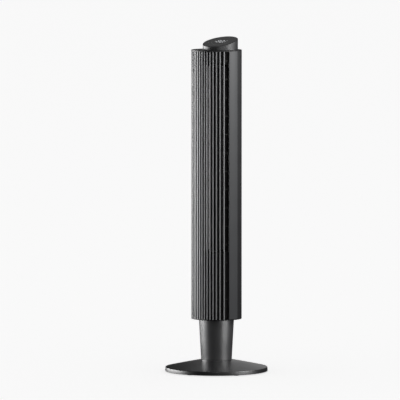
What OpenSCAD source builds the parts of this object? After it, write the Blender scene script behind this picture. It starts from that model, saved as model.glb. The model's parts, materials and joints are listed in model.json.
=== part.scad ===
// Tower fan: a round weighted base, a tapered neck with a telescoping mast, an oscillating
// tower with a vertical-slat outlet grille, and a slanted round control head.
// Millimetres. +Z is up and the fan blows towards -Y. The origin is on the floor, below the neck.
// Angles named "from the front" start at -Y and grow towards +X.

/* [Tower] */
// Height of the tower, from its bottom rim to its top face
tower_h = 858; // [715:1:1040]
// Outer diameter of the tower
tower_d = 161; // [150:1:200]
// Wall of the outer shells
shell_wall = 3; // [2:0.5:4]
// Height of the dark rim at each end of the tower
rim_h = 3; // [2:0.5:6]
// Where the side panels meet the rear shell, in degrees from the front
parting_angle = 92; // [88:1:100]
// Gap of the seam between the side panels and the rear shell
seam_gap = 0.5; // [0.2:0.1:1]

/* [Outlet grille] */
// Number of slats, an odd number
slat_count = 15; // [9:2:19]
// Half-width of the outlet, as a share of the tower's radius
outlet_share = 0.907; // [0.8:0.001:0.93]
// Width of a slat's outer face
slat_w = 4.2; // [3:0.1:6]
// Width of a slat's inner edge
slat_tip_w = 2.4; // [1.5:0.1:4]
// Depth of a slat
slat_depth = 9; // [6:0.5:12]
// Distance between the ribs behind the slats
rib_pitch = 58.4; // [40:0.1:90]
// Height of the lowest rib above the tower's bottom
first_rib = 37; // [15:0.5:60]
// How far a rib lies behind the slats' faces
rib_recess = 4; // [2:0.5:5]
// Thickness of a rib
rib_t = 2; // [1:0.5:3]
// Depth of a rib, front to back
rib_depth = 3; // [2:0.5:4]

/* [Intake grille] */
// Where the intake starts, in degrees from the front
intake_angle = 122; // [115:1:140]
// Angle between neighbouring intake bars
bar_step = 4; // [3:0.5:8]
// Width of an intake bar
bar_w = 2.4; // [1.5:0.1:3.5]

/* [Carry handle] */
// Half the angle that the handle recess spans at the back
handle_half_angle = 33; // [26:1:38]
// Height of the handle recess
handle_h = 20; // [18:1:22]
// Depth of the handle recess
handle_depth = 22; // [18:1:26]
// Wall of the handle recess
handle_wall = 2; // [1.5:0.5:3]

/* [Neck and mast] */
// Visible height of the neck
neck_h = 131; // [110:1:160]
// Diameter of the neck where it meets the base
neck_low_d = 98; // [90:1:118]
// Diameter of the neck where it enters the tower
neck_top_d = 112; // [91:1:126]
// Wall of the neck sleeve
neck_wall = 2.5; // [1.5:0.5:4]
// How far the tower can be lowered
travel = 100; // [80:1:120]
// Outer diameter of the mast
mast_d = 50; // [42:1:60]
// Wall of the mast and of the column tube
tube_wall = 2; // [1.5:0.5:3]
// Gap between the mast and the column, which the bush fills
bush_wall = 3; // [2:0.5:4]
// Running clearance of what slides or turns
run_gap = 0.08; // [0.05:0.01:0.1]
// Clearance between the neck and the tower around it
neck_gap = 1.2; // [0.8:0.1:3]

/* [Base] */
// Diameter of the base
base_d = 327; // [270:1:390]
// Height of the base's rim
base_rim_h = 13; // [8:0.5:16]
// Rise from the rim to the neck
base_rise = 23; // [18:0.5:32]
// How far the base's slope bulges
base_bulge = 0.3; // [0:0.1:4]
// Wall of the base cover
base_wall = 3; // [2:0.5:4]
// Height that the rubber feet stand out
foot_h = 2; // [1:0.5:4]
// Diameter of a rubber foot
foot_d = 18; // [12:1:24]
// Number of feet and of base screws
foot_count = 6; // [4:1:8]
// Thickness of the steel ballast plate
ballast_t = 5; // [3:0.5:6]

/* [Control head] */
// Diameter of the control head
head_d = 112; // [92:1:135]
// Height of the head at its front
head_front_h = 10.5; // [8:0.5:16]
// Slope of the control panel
head_tilt = 14.4; // [5:0.1:20]
// Distance from the head to the tower's rear edge
head_back_gap = 3; // [1:0.5:10]
// Thickness of the panel lens
lens_t = 2; // [1.5:0.1:3]

/* [Fan] */
// Diameter of the impeller
impeller_d = 100; // [84:1:104]
// Number of impeller sections
impeller_sections = 3; // [2:1:4]
// Usual height of one bay of the impeller, which is stretched to fill the duct
usual_bay_h = 60; // [45:1:75]
// Number of blades
blade_count = 24; // [16:1:30]
// Thickness of a blade
blade_t = 1.2; // [0.8:0.1:2]
// How far the impeller's axis lies behind the tower's
impeller_back = 8; // [4:0.5:10]
// Diameter of the motor
motor_d = 84; // [70:1:90]
// Height of the stator stack
stator_h = 20; // [14:1:30]
// Diameter of the motor shaft
shaft_d = 8; // [6:0.5:10]

/* [Oscillation drive] */
// Module of the gears
gear_module = 1.25; // [1:0.05:1.5]
// Teeth of the fixed gear
sun_teeth = 48; // [40:1:54]
// Teeth of the motor's pinion
pinion_teeth = 16; // [15:1:18]
// Height of the gears' teeth along their axis
gear_h = 7; // [5:0.5:10]
// Diameter of the oscillation motor
osc_motor_d = 50; // [40:1:54]

/* [Cord gland] */
// Bore of the cord gland
gland_bore_d = 7; // [5:0.5:9]
// Outer diameter of the gland's body
gland_body_d = 13; // [11:0.5:16]
// Height of the gland above the tower's bottom
gland_up = 34; // [24:1:50]

/* [Hidden] */
$fn = 96;

// How far a cutting shape reaches past what it cuts
over = 1;

// Tower, from the floor up
tower_r = tower_d / 2;
shell_in_r = tower_r - shell_wall;
base_top_z = foot_h + base_rim_h + base_rise;
tower_z0 = base_top_z + neck_h;
tower_z1 = tower_z0 + tower_h;
shell_z0 = tower_z0 + rim_h;
shell_z1 = tower_z1 - rim_h;
outlet_half_w = outlet_share * tower_r;
edge_angle = asin(outlet_share);
slat_pitch = 2 * outlet_half_w / (slat_count + 1);
grille_in_r = tower_r - slat_depth;
liner_t = 2.2;
liner_gap = 0.3;
deck_r = grille_in_r - liner_gap - liner_t;
fit = 0.2;
rim_bevel = 1;

// Neck, column and mast
neck_low_r = neck_low_d / 2;
neck_top_r = neck_top_d / 2;
neck_in_tower = 6;
neck_z1 = tower_z0 + neck_in_tower;
neck_lid_t = 3;
well_in_r = max(neck_low_r, neck_top_r) + neck_gap;
well_wall = 2;
mast_r = mast_d / 2;
column_in_r = mast_r + bush_wall;
column_r = column_in_r + tube_wall;
base_plate_t = 3;
base_floor_z = foot_h + base_plate_t;
socket_floor_t = 4;
column_z0 = base_floor_z + socket_floor_t;
column_lid_gap = 4;
column_z1 = neck_z1 - neck_lid_t - column_lid_gap;
bush_lip_t = 3;
bush_len = 38;
key_w = 5;
key_gap = 0.4;
low_stop_gap = 6;
mast_z0 = column_z0 + low_stop_gap + travel;
flange_t = 5;
mast_stop_gap = 11;
mast_z1 = neck_z1 + travel + mast_stop_gap;
flange_z1 = mast_z1 + flange_t;
mast_head_r = 48;
washer_t = 2;
deck_t = 4;
deck_z0 = flange_z1 + washer_t;
deck_z1 = deck_z0 + deck_t;
spigot_r = 20;
wire_bore_r = 9;
guide_ring_h = 8;
slot_end = 8;
plug_len = 24;

// Oscillation gears
sun_r = gear_module * sun_teeth / 2;
pinion_r = gear_module * pinion_teeth / 2;
gear_play = 0.1;
gear_distance = sun_r + pinion_r + gear_play;
gear_deck_gap = 0.5;
gear_z0 = deck_z1 + gear_deck_gap;
gear_z1 = gear_z0 + gear_h;
tooth_thinning = 0.08;
pressure_angle = 20;
retainer_t = 1.6;
retainer_w = 3;
retainer_opening = 6;
groove_depth = 1.2;
spigot_end = 1;
osc_shaft_r = 3;
osc_shaft_in = 5;
osc_motor_h = 20;
osc_motor_gap = 6;
osc_motor_z0 = gear_z1 + osc_motor_gap;
osc_ear_r = 6;
osc_ear_t = 2;

// Fan motor and impeller
motor_deck_z0 = osc_motor_z0 + osc_motor_h;
motor_deck_t = 3;
motor_deck_z1 = motor_deck_z0 + motor_deck_t;
grommet_h = 4;
grommet_r = 5;
grommet_stem_r = 2.5;
grommet_stem_gap = 0.5;
motor_z0 = motor_deck_z1 + grommet_h;
motor_cover_h = 12;
stator_z0 = motor_z0 + motor_cover_h;
stator_z1 = stator_z0 + stator_h;
motor_z1 = stator_z1 + motor_cover_h;
motor_r = motor_d / 2;
cover_wall = 2;
cover_r = motor_r - 3;
bearing_len = 8;
motor_bearing_r = 9;
duct_floor_z0 = motor_z1 + 4;
duct_plate_t = 3;
duct_z0 = duct_floor_z0 + duct_plate_t;
impeller_r = impeller_d / 2;
impeller_gap = 3;
impeller_z0 = duct_z0 + impeller_gap;
disc_t = 2;
roof_space = 50;
impeller_z1 = tower_z1 - roof_space;
section_h = (impeller_z1 - impeller_z0 - disc_t) / impeller_sections;
bays_per_section = max(1, round(section_h / usual_bay_h));
bay_h = section_h / bays_per_section;
duct_z1 = impeller_z1 + disc_t + impeller_gap + 1;
shaft_r = shaft_d / 2;
stub_r = 3;
bearing_r = 8;
rubber_r = 13;
hub_r = 9;
hub_flange_r = 20;
hub_flange_t = 3;
hub_h = 16;
hub_below = 2;

// Control head
head_r = head_d / 2;
head_y = tower_r - head_back_gap - head_r;
head_mid_h = head_front_h + head_r * tan(head_tilt);
head_rim_w = 2.2;
lens_ledge_w = 3;
lens_r = head_r - head_rim_w;
head_bore_r = lens_r - lens_ledge_w;
board_t = 1.6;
board_drop = 9;
display_size = [40, 26];
display_gap = 0.4;
key_count = 5;
key_step = 34;
key_ring_share = 0.645;
key_r = key_ring_share * lens_r;
touch_spring_r = 5;
touch_spring_wall = 1;

// A direction in the ground plane, at an angle from the front
function from_front(r, a) = [r * sin(a), -r * cos(a)];

// A wall that follows a circle from one angle to another
module arc_wall(r_in, r_out, a0, a1, z0, z1) {
    rotate([0, 0, a0 - 90])
        rotate_extrude(angle = a1 - a0)
            translate([r_in, z0])
                square([r_out - r_in, z1 - z0]);
}

// A straight tube or ring
module ring(r_in, r_out, z0, z1) {
    translate([0, 0, z0])
        difference() {
            cylinder(r = r_out, h = z1 - z0);
            translate([0, 0, -over])
                cylinder(r = r_in, h = z1 - z0 + 2 * over);
        }
}

// Base

base_r = base_d / 2;
rim_round = 2;
slope_steps = 8;
slope_r0 = base_r - rim_round;
neck_step = 1.5;
slope_r1 = neck_low_r + neck_step;
slope_z0 = foot_h + base_rim_h;

// The cover's slope: a straight line from rim to neck, with a shallow bulge
function slope_point(s, drop) =
    [slope_r0 + (slope_r1 - slope_r0) * s,
     slope_z0 + base_rise * s + base_bulge * sin(180 * s) - drop];
function slope(drop) = [for (i = [0:slope_steps]) slope_point(i / slope_steps, drop)];
function rim_corner(r) =
    [for (a = [0:30:60]) [base_r - rim_round + r * cos(a), slope_z0 - rim_round + r * sin(a)]];

cover_hole_r = column_r + 1;
socket_wall = 5;
socket_r = column_r + socket_wall;
socket_flange_r = socket_r + 14;
foot_ring_r = base_r - 18;
screw_ring_r = base_r - 16;
boss_r = 4;
screw_r = 1.6;
screw_head_r = 3.2;
screw_head_t = 1.8;
screw_gap = 0.2;
screw_head_gap = 0.3;
screw_sink = 0.2;
ballast_gap = 8;
function cover_under_z(r) =
    let (s = (slope_r0 - r) / (slope_r0 - slope_r1)) slope_point(s, base_wall)[1];
boss_z1 = cover_under_z(screw_ring_r) + 0.8;
screw_z1 = cover_under_z(screw_ring_r) - 0.5;

module at_base_screws(z) {
    for (i = [0:foot_count - 1])
        rotate([0, 0, (i + 0.5) * 360 / foot_count])
            translate([screw_ring_r, 0, z])
                children();
}

module base_cover() {
    color("#1a1b1d")
    difference() {
        union() {
            rotate_extrude()
                polygon(concat(
                    [[base_r - base_wall, foot_h], [base_r, foot_h]],
                    rim_corner(rim_round),
                    slope(0),
                    [[cover_hole_r, base_top_z], [cover_hole_r, base_top_z - base_wall]],
                    [for (i = [slope_steps:-1:1]) slope_point(i / slope_steps, base_wall)],
                    [[base_r - base_wall, slope_z0 - rim_round]]
                ));
            at_base_screws(base_floor_z)
                cylinder(r = boss_r, h = boss_z1 - base_floor_z);
        }
        at_base_screws(0)
            cylinder(r = screw_r, h = screw_z1);
    }
}

module base_plate() {
    color("#141516")
    difference() {
        translate([0, 0, foot_h])
            cylinder(r = base_r - base_wall - fit, h = base_plate_t);
        at_base_screws(foot_h - over) {
            cylinder(r = screw_r + screw_gap, h = base_plate_t + 2 * over);
            cylinder(r = screw_head_r + screw_head_gap, h = over + screw_head_t + screw_sink);
        }
    }
}

module ballast_plate() {
    color("#5b5d60")
        ring(socket_flange_r + ballast_gap, screw_ring_r - boss_r - ballast_gap / 2,
             base_floor_z, base_floor_z + ballast_t);
}

module rubber_feet() {
    color("#202122")
    for (i = [0:foot_count - 1])
        rotate([0, 0, i * 360 / foot_count - 90])
            translate([foot_ring_r, 0, 0])
                cylinder(d = foot_d, h = foot_h);
}

module base_screws() {
    color("#8f9194")
    at_base_screws(foot_h + screw_sink) {
        cylinder(r = screw_head_r, h = screw_head_t);
        cylinder(r = screw_r, h = screw_z1 - foot_h - screw_sink);
    }
}

module column_socket() {
    color("#2a2b2d")
    difference() {
        union() {
            translate([0, 0, base_floor_z])
                cylinder(r = socket_flange_r, h = socket_floor_t);
            translate([0, 0, base_floor_z])
                cylinder(r = socket_r, h = base_top_z - base_wall - base_floor_z);
        }
        translate([0, 0, column_z0])
            cylinder(r = column_r, h = base_top_z);
        cylinder(r = column_in_r, h = base_top_z);
    }
}

module column_tube() {
    color("#9a9da1")
        ring(column_in_r, column_r, column_z0, column_z1);
}

// The bush grips the mast, and its key runs in the mast's slot so that the mast can't turn
module friction_bush() {
    color("#d9d7cf") {
        difference() {
            union() {
                translate([0, 0, column_z1 - bush_len])
                    cylinder(r = column_in_r, h = bush_len);
                translate([0, 0, column_z1])
                    cylinder(r = column_r, h = bush_lip_t);
            }
            translate([0, 0, column_z1 - bush_len - over])
                cylinder(r = mast_r + run_gap, h = bush_len + bush_lip_t + 2 * over);
        }
        translate([-key_w / 2, -mast_r - over, column_z1 - bush_len])
            cube([key_w, tube_wall + over - key_gap, bush_len]);
    }
}

module neck_sleeve() {
    lid_hole_r = column_r + fit;
    color("#3a3c3f")
    rotate_extrude()
        polygon([
            [neck_low_r - neck_wall, base_top_z],
            [neck_low_r, base_top_z],
            [neck_top_r, tower_z0],
            [neck_top_r, neck_z1 - rim_bevel],
            [neck_top_r - rim_bevel, neck_z1],
            [lid_hole_r, neck_z1],
            [lid_hole_r, neck_z1 - neck_lid_t],
            [neck_top_r - neck_wall, neck_z1 - neck_lid_t],
            [neck_top_r - neck_wall, tower_z0]
        ]);
}

// Mast, which carries the tower up and down

module mast_tube() {
    slot_w = key_w + 2 * key_gap;
    color("#b4b7bb")
    difference() {
        ring(mast_r - tube_wall, mast_r, mast_z0, mast_z1);
        translate([-slot_w / 2, -mast_r - over, mast_z0 + guide_ring_h])
            cube([slot_w, tube_wall + 2 * over, mast_z1 - slot_end - mast_z0 - guide_ring_h]);
    }
}

module mast_guide_ring() {
    color("#e0ded6")
        ring(mast_r, column_in_r - run_gap, mast_z0, mast_z0 + guide_ring_h);
}

module mast_head() {
    color("#2d2e30")
    difference() {
        union() {
            translate([0, 0, mast_z1 - plug_len])
                cylinder(r = mast_r - tube_wall, h = plug_len);
            translate([0, 0, mast_z1])
                cylinder(r = mast_head_r, h = flange_t);
            translate([0, 0, flange_z1])
                cylinder(r = spigot_r, h = gear_z1 + retainer_t + spigot_end - flange_z1);
        }
        translate([0, 0, mast_z1 - plug_len - over])
            cylinder(r = wire_bore_r, h = 2 * plug_len + gear_z1 - mast_z1);
        ring(spigot_r - groove_depth, spigot_r + over, gear_z1, gear_z1 + retainer_t);
    }
}

module thrust_washer() {
    color("#e6e3da")
        ring(spigot_r, mast_head_r - rim_bevel, flange_z1, deck_z0);
}

// One flank's half-angle of an involute tooth, at a radius
function involute_angle(rb, r) =
    let (t = sqrt(max(0, (r / rb) * (r / rb) - 1))) t * 180 / PI - atan(t);
function tooth_half_angle(teeth, r, thin) =
    let (rp = gear_module * teeth / 2, rb = rp * cos(pressure_angle))
    (90 / teeth) - thin / rp * 180 / PI
        + involute_angle(rb, rp) - involute_angle(rb, max(r, rb));
function tooth_radii(teeth) =
    let (rp = gear_module * teeth / 2, root = rp - 1.25 * gear_module, tip = rp + gear_module)
    [for (i = [0:4]) root + (tip - root) * i / 4];
function gear_points(teeth, thin) =
    let (radii = tooth_radii(teeth))
    [for (k = [0:teeth - 1]) for (side = [-1, 1]) for (i = [0:4])
        let (r = side < 0 ? radii[i] : radii[4 - i],
             a = k * 360 / teeth + side * tooth_half_angle(teeth, r, thin))
        [r * cos(a), r * sin(a)]];

module sun_gear() {
    color("#e8e4d8")
    difference() {
        translate([0, 0, gear_z0])
            rotate([0, 0, 90])
                linear_extrude(height = gear_h)
                    polygon(gear_points(sun_teeth, tooth_thinning));
        translate([0, 0, gear_z0 - over])
            cylinder(r = spigot_r, h = gear_h + 2 * over);
    }
}

module gear_retainer() {
    color("#9a9da1")
    difference() {
        ring(spigot_r - groove_depth, spigot_r + retainer_w, gear_z1, gear_z1 + retainer_t);
        translate([-retainer_opening / 2, -spigot_r - retainer_w - over, gear_z1 - over])
            cube([retainer_opening, retainer_w + 2 * groove_depth, retainer_t + 2 * over]);
    }
}

// Oscillation drive

module osc_pinion() {
    color("#e8e4d8")
    translate([0, gear_distance, 0]) {
        translate([0, 0, gear_z0])
            rotate([0, 0, 270 + 180 / pinion_teeth])
                linear_extrude(height = gear_h)
                    polygon(gear_points(pinion_teeth, tooth_thinning));
        translate([0, 0, gear_z1])
            cylinder(r = osc_shaft_r, h = osc_motor_z0 + osc_shaft_in - gear_z1);
    }
}

module osc_motor() {
    color("#b9bcc0")
    translate([0, gear_distance, osc_motor_z0])
        difference() {
            union() {
                cylinder(d = osc_motor_d, h = osc_motor_h);
                for (side = [-1, 1])
                    translate([side * osc_motor_d / 2, 0, osc_motor_h - osc_ear_t])
                        cylinder(r = osc_ear_r, h = osc_ear_t);
            }
            translate([0, 0, -over])
                cylinder(r = osc_shaft_r + run_gap, h = osc_shaft_in + 2 * over);
        }
}

// Tower frame

module swivel_deck() {
    color("#2a2b2d")
    difference() {
        translate([0, 0, deck_z0])
            cylinder(r = deck_r, h = deck_t);
        translate([0, 0, deck_z0 - over])
            cylinder(r = spigot_r + run_gap, h = deck_t + 2 * over);
    }
}

module well_tube() {
    color("#1d1e20")
        ring(well_in_r, well_in_r + well_wall, shell_z0, deck_z0);
}

module bottom_cap() {
    color("#17181a")
    rotate_extrude()
        polygon([
            [well_in_r, tower_z0 + rim_bevel],
            [well_in_r + rim_bevel, tower_z0],
            [tower_r - rim_bevel, tower_z0],
            [tower_r, tower_z0 + rim_bevel],
            [tower_r, shell_z0],
            [well_in_r, shell_z0]
        ]);
}

post_a0 = parting_angle - 8;
post_a1 = parting_angle + 20;
rear_screw_angle = parting_angle + 14;
rear_screw_inset = 18;
rear_screw_zs = [shell_z0 + rear_screw_inset, (shell_z0 + shell_z1) / 2,
                 shell_z1 - rear_screw_inset];

module at_rear_screws() {
    for (side = [-1, 1])
        for (z = rear_screw_zs)
            translate([0, 0, z])
                rotate([0, 0, side * rear_screw_angle])
                    rotate([90, 0, 0])
                        children();
}

module frame_posts() {
    color("#232426")
    difference() {
        for (side = [-1, 1])
            rotate([0, 0, side < 0 ? -post_a0 - post_a1 : 0])
                arc_wall(deck_r, shell_in_r, post_a0, post_a1, shell_z0, shell_z1);
        at_rear_screws()
            cylinder(r = screw_r, h = tower_r);
    }
}

module motor_deck() {
    color("#2a2b2d")
    difference() {
        translate([0, 0, motor_deck_z0])
            cylinder(r = deck_r, h = motor_deck_t);
        translate([0, impeller_back, motor_deck_z0 - over])
            cylinder(r = motor_deck_bore_r, h = motor_deck_t + 2 * over);
        at_grommets()
            translate([0, 0, motor_deck_z0 - over])
                cylinder(r = grommet_stem_r, h = motor_deck_t + 2 * over);
    }
}

motor_deck_bore_r = 14;
grommet_ring_r = motor_r - 8;
module at_grommets() {
    for (a = [45:90:315])
        translate([grommet_ring_r * cos(a), impeller_back + grommet_ring_r * sin(a), 0])
            children();
}

module motor_grommets() {
    color("#1c1c1c")
    at_grommets() {
        translate([0, 0, motor_deck_z1])
            cylinder(r = grommet_r, h = grommet_h);
        translate([0, 0, motor_deck_z0 + grommet_stem_gap])
            cylinder(r = grommet_stem_r, h = motor_deck_t - grommet_stem_gap);
    }
}

// Fan motor

module motor_cover(z0, z1, closed_z0) {
    difference() {
        translate([0, impeller_back, z0])
            cylinder(r = cover_r, h = z1 - z0);
        translate([0, impeller_back, closed_z0])
            cylinder(r = cover_r - cover_wall, h = motor_cover_h - cover_wall);
        translate([0, impeller_back, z0 - over])
            cylinder(r = motor_bearing_r, h = motor_cover_h + 2 * over);
    }
}

module motor_covers() {
    color("#a9acb0") {
        motor_cover(motor_z0, stator_z0, motor_z0 + cover_wall);
        motor_cover(stator_z1, motor_z1, stator_z1);
    }
}

rotor_r = motor_r * 0.5;
winding_r0 = rotor_r + 2;
winding_gap = 1.5;
winding_r1 = cover_r - cover_wall - winding_gap;

module motor_stator() {
    color("#6d7074")
    translate([0, impeller_back, 0])
        ring(rotor_r + 0.5, motor_r, stator_z0, stator_z1);
}

module stator_windings() {
    winding_h = motor_cover_h - cover_wall - 2;
    color("#b0672f")
    translate([0, impeller_back, 0]) {
        ring(winding_r0, winding_r1, stator_z0 - winding_h, stator_z0);
        ring(winding_r0, winding_r1, stator_z1, stator_z1 + winding_h);
    }
}

module motor_bearings() {
    color("#c8a25a")
    translate([0, impeller_back, 0])
        for (z = [motor_z0, motor_z1 - bearing_len])
            ring(shaft_r + run_gap, motor_bearing_r, z, z + bearing_len);
}

module rotor() {
    color("#8b8e92")
    translate([0, impeller_back, 0])
        ring(shaft_r, rotor_r, stator_z0, stator_z1);
}

module motor_shaft() {
    color("#c9ccd0")
    translate([0, impeller_back, motor_z0 - hub_below])
        cylinder(r = shaft_r, h = impeller_z0 + hub_h - motor_z0 + hub_below);
}

capacitor_size = [32, 12, 24];
module run_capacitor() {
    color("#e3e1da")
    translate([-capacitor_size[0] / 2, capacitor_size[1] - deck_r, motor_deck_z1])
        cube(capacitor_size);
}

board_z0 = deck_z1 + 4;
module power_board() {
    color("#2f6b45")
    translate([-28, -sun_r - gear_module - 9, board_z0]) {
        cube([56, board_t, motor_deck_z0 - board_z0 - 3]);
        translate([4, -12, 3])
            cube([16, 12, 14]);
        translate([26, -9, 3])
            cube([9, 9, 12]);
        translate([41, -9, 3])
            cube([9, 9, 12]);
        translate([20, 0, -4])
            cube([16, board_t, 5]);
    }
}

// Air duct

module duct_floor() {
    color("#1b1c1e")
    difference() {
        translate([0, 0, duct_floor_z0])
            cylinder(r = deck_r, h = duct_plate_t);
        translate([0, impeller_back, duct_floor_z0 - over])
            cylinder(r = rubber_r, h = duct_plate_t + 2 * over);
    }
}

module duct_roof() {
    color("#1b1c1e")
    difference() {
        translate([0, 0, duct_z1])
            cylinder(r = deck_r, h = duct_plate_t);
        translate([0, impeller_back, duct_z1 - over])
            cylinder(r = rubber_r, h = duct_plate_t + 2 * over);
    }
}

module bearing_rubber() {
    color("#1c1c1c")
    translate([0, impeller_back, 0])
        ring(bearing_r, rubber_r, duct_z1, duct_z1 + bearing_len);
}

module top_bearing() {
    color("#c8a25a")
    translate([0, impeller_back, 0])
        ring(stub_r + run_gap, bearing_r, duct_z1, duct_z1 + bearing_len);
}

// The scroll: a spiral from the rear left, opening towards the outlet's left edge
scroll_a0 = -158;
scroll_a1 = -72;
scroll_gap0 = 4;
scroll_steps = 14;
duct_wall = 2;
duct_gap = 0.5;
mouth = from_front(deck_r - duct_gap, -edge_angle + 1.5);
scroll_gap1 = deck_r - impeller_r - duct_wall - 5;
function scroll_point(s, off) =
    let (r = impeller_r + scroll_gap0 + (scroll_gap1 - scroll_gap0) * s + off)
    from_front(r, scroll_a0 + (scroll_a1 - scroll_a0) * s) + [0, impeller_back];
function scroll_line(off) = [for (i = [0:scroll_steps]) scroll_point(i / scroll_steps, off)];

module scroll_wall() {
    color("#1b1c1e")
    translate([0, 0, duct_z0])
        linear_extrude(height = duct_z1 - duct_z0)
            polygon(concat(
                scroll_line(0),
                [mouth + [duct_wall, 0.8], mouth],
                [for (i = [scroll_steps:-1:0]) scroll_point(i / scroll_steps, duct_wall)]
            ));
}

// The tongue: a wedge beside the impeller, from the outlet's right edge to the right post
module vortex_tongue() {
    tip = from_front(impeller_r + 4, 82) + [0, impeller_back];
    heel = from_front(impeller_r + 5, 98) + [0, impeller_back];
    lip = from_front(deck_r - duct_gap, edge_angle - 1.5);
    post = from_front(deck_r - duct_gap - 0.1, post_a0 + 3);
    color("#1b1c1e")
    translate([0, 0, duct_z0])
        linear_extrude(height = duct_z1 - duct_z0)
            polygon([tip, lip - [duct_wall, 0], lip, tip + [4.5, 2], post, post + [0, 3], heel]);
}

liner_angle = edge_angle + 3;

// Dark screens that close the tower behind the slats, below and above the outlet
module liner(z0, z1) {
    color("#0e0f10")
        arc_wall(deck_r, grille_in_r - liner_gap, -liner_angle, liner_angle, z0, z1);
}

// Impeller

module impeller_base_disc() {
    color("#3b3d40")
    translate([0, impeller_back, impeller_z0])
        difference() {
            cylinder(r = impeller_r, h = disc_t);
            translate([0, 0, -over])
                cylinder(r = hub_r, h = disc_t + 2 * over);
        }
}

module drive_hub() {
    color("#1c1c1c")
    translate([0, impeller_back, 0]) {
        ring(shaft_r, hub_r, impeller_z0 - hub_below, impeller_z0 + hub_h);
        ring(hub_r, hub_flange_r, impeller_z0 + disc_t, impeller_z0 + disc_t + hub_flange_t);
    }
}

module impeller_top_disc() {
    color("#3b3d40")
    translate([0, impeller_back, impeller_z1]) {
        cylinder(r = impeller_r, h = disc_t);
        cylinder(r = stub_r, h = duct_z1 + bearing_len + 2 - impeller_z1);
    }
}

// A blade's section is an arc that leans forward from the inner to the outer radius
blade_in_share = 0.8;
blade_in_r = blade_in_share * impeller_r;
blade_tip_gap = 0.5;
blade_steps = 4;
blade_lean = 18;
function blade_point(s, off) =
    let (r = blade_in_r + (impeller_r - blade_tip_gap - blade_in_r) * s,
         a = blade_lean * s * s + off / r * 180 / PI)
    [r * cos(a), r * sin(a)];
function blade_section() = concat(
    [for (i = [0:blade_steps]) blade_point(i / blade_steps, -blade_t / 2)],
    [for (i = [blade_steps:-1:0]) blade_point(i / blade_steps, blade_t / 2)]);

module impeller_section(i) {
    z0 = impeller_z0 + disc_t + (i - 1) * section_h;
    color("#3b3d40")
    translate([0, impeller_back, z0]) {
        linear_extrude(height = section_h)
            for (k = [0:blade_count - 1])
                rotate([0, 0, k * 360 / blade_count])
                    polygon(blade_section());
        for (bay = [1:bays_per_section])
            ring(blade_in_r - disc_t, impeller_r, bay * bay_h - disc_t, bay * bay_h);
    }
}

// Outer shells

seam_angle = seam_gap / tower_r * 180 / PI;

module side_panel(side) {
    color("#3c3e41")
    rotate([0, 0, side < 0 ? -edge_angle - parting_angle + seam_angle : 0])
        arc_wall(shell_in_r, tower_r, edge_angle, parting_angle - seam_angle, shell_z0, shell_z1);
}

// Slats are spaced evenly from side to side, and each one points at the tower's axis
function slat_angle(i) =
    abs(i) > slat_count / 2 ? sign(i) * stile_a : asin(i * slat_pitch / tower_r);
slat_bevel = 0.5;
slat_section = [
    [-slat_w / 2 + slat_bevel, 0], [slat_w / 2 - slat_bevel, 0], [slat_w / 2, slat_bevel],
    [slat_tip_w / 2, slat_depth], [-slat_tip_w / 2, slat_depth], [-slat_w / 2, slat_bevel]
];

// Ribs tie each slat to the next. Their heights alternate from gap to gap.
gap_count = slat_count + 1;
rib_end_gap = 5;
rib_rows = floor((shell_z1 - tower_z0 - first_rib - rib_end_gap) / (rib_pitch / 2)) + 1;
rib_front_r = tower_r - rib_recess;
rib_back_r = rib_front_r - rib_depth;
stile_a0 = edge_angle + 1;
stile_a1 = stile_a0 + 4;
stile_a = (stile_a0 + stile_a1) / 2;

function rib_section(i) = [
    from_front(rib_front_r, slat_angle(i)), from_front(rib_front_r, slat_angle(i + 1)),
    from_front(rib_back_r, slat_angle(i + 1)), from_front(rib_back_r, slat_angle(i))
];

module front_grille() {
    side_slats = (slat_count - 1) / 2;
    color("#3c3e41") {
        for (i = [-side_slats:side_slats])
            rotate([0, 0, slat_angle(i)])
                translate([0, -tower_r, shell_z0])
                    linear_extrude(height = shell_z1 - shell_z0)
                        polygon(slat_section);
        for (row = [0:rib_rows - 1])
            for (gap = [row % 2:2:gap_count - 1])
                translate([0, 0, tower_z0 + first_rib + row * rib_pitch / 2 - rib_t / 2])
                    linear_extrude(height = rib_t)
                        polygon(rib_section(gap - gap_count / 2));
        for (side = [-1, 1])
            rotate([0, 0, side < 0 ? -stile_a0 - stile_a1 : 0])
                arc_wall(grille_in_r, shell_in_r, stile_a0, stile_a1, shell_z0, shell_z1);
    }
}

intake_z0 = duct_z0;
intake_z1 = duct_z1;
intake_border = 6;
rear_screw_sink = 0.4;
rear_screw_z = tower_r - screw_head_t - rear_screw_sink;
rear_split_z = duct_z1 + duct_plate_t;
handle_z0 = rear_split_z + 8;

module rear_wall(z0, z1) {
    difference() {
        arc_wall(shell_in_r, tower_r, parting_angle, 360 - parting_angle, z0, z1);
        at_rear_screws() {
            cylinder(r = screw_r + screw_gap, h = tower_r + over);
            translate([0, 0, rear_screw_z])
                cylinder(r = screw_head_r + screw_head_gap, h = screw_head_t + shell_wall);
        }
    }
}

module rear_shell() {
    color("#16171a")
    difference() {
        rear_wall(shell_z0, rear_split_z);
        arc_wall(shell_in_r - over, tower_r + over, intake_angle, 360 - intake_angle,
                 intake_z0, intake_z1);
        gland_axis() {
            cylinder(d = gland_body_d, h = gland_seat + shell_wall);
            translate([0, 0, gland_seat])
                cylinder(d = gland_flange_d + 2 * fit, h = shell_wall);
        }
    }
}

// The upper rear cover holds the carry handle
module handle_shell() {
    color("#16171a")
    difference() {
        rear_wall(rear_split_z, shell_z1);
        arc_wall(shell_in_r - over, tower_r + over,
                 180 - handle_half_angle, 180 + handle_half_angle,
                 handle_z0, handle_z0 + handle_h);
    }
}

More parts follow.
